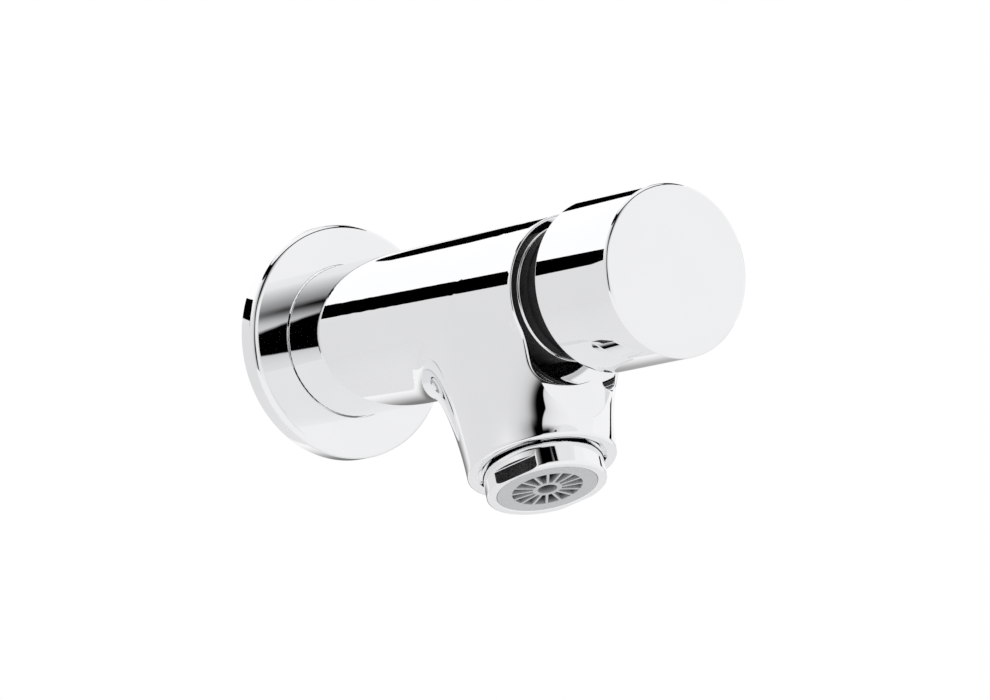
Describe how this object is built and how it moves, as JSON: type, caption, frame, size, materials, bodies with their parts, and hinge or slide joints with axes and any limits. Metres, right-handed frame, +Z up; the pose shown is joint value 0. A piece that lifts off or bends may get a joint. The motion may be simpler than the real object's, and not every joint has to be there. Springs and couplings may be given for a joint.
{
  "type": "push timed wall tap",
  "caption": "Wall tap with a straight round barrel, a waisted spout with an aerator, and a large push button in front that opens a self-closing valve.",
  "frame": {"origin": "on the barrel's axis, at the wall plane behind the flange", "axes": "+Z up, +Y into the wall along the barrel's axis; the button faces -Y and the spout points down"},
  "size_m": [0.048, 0.129, 0.0654],
  "materials": {
    "chrome": "polished",
    "bright_steel": "satin",
    "brass": "satin",
    "black_plastic": "matte",
    "white_plastic": "satin",
    "grey_plastic": "satin",
    "rubber": "matte"
  },
  "bodies": {
    "tap": {"tap_body": "chrome", "wall_flange": "chrome", "wall_seal": "rubber", "inlet_strainer": "bright_steel", "flow_regulator": "white_plastic", "regulator_ring": "rubber", "cartridge_gasket": "rubber", "timing_cup": "white_plastic", "jet_pin": "brass", "cartridge_sleeve": "white_plastic", "sleeve_o_rings": "rubber", "gland_bush": "brass", "gland_o_ring": "rubber", "stem_o_ring": "rubber", "retaining_nut": "chrome", "guide_collar": "black_plastic", "return_spring": "bright_steel", "aerator_housing": "chrome", "aerator_insert": "grey_plastic", "aerator_diffuser": "white_plastic", "aerator_screen": "bright_steel", "aerator_washer": "rubber"},
    "plunger": {"push_button": "chrome", "button_hub": "black_plastic", "button_nut": "brass", "button_clip": "bright_steel", "stem": "bright_steel", "piston": "white_plastic", "cup_seal": "rubber", "seat_washer": "rubber"}
  },
  "joints": [
    {"name": "button_push", "type": "slide", "parent": "tap", "child": "plunger", "axis": [0, 1, 0], "range_m": [0, 0.007], "stiffness_N_per_m": 1500, "springref_m": -0.004, "deforming": ["return_spring"]}
  ]
}
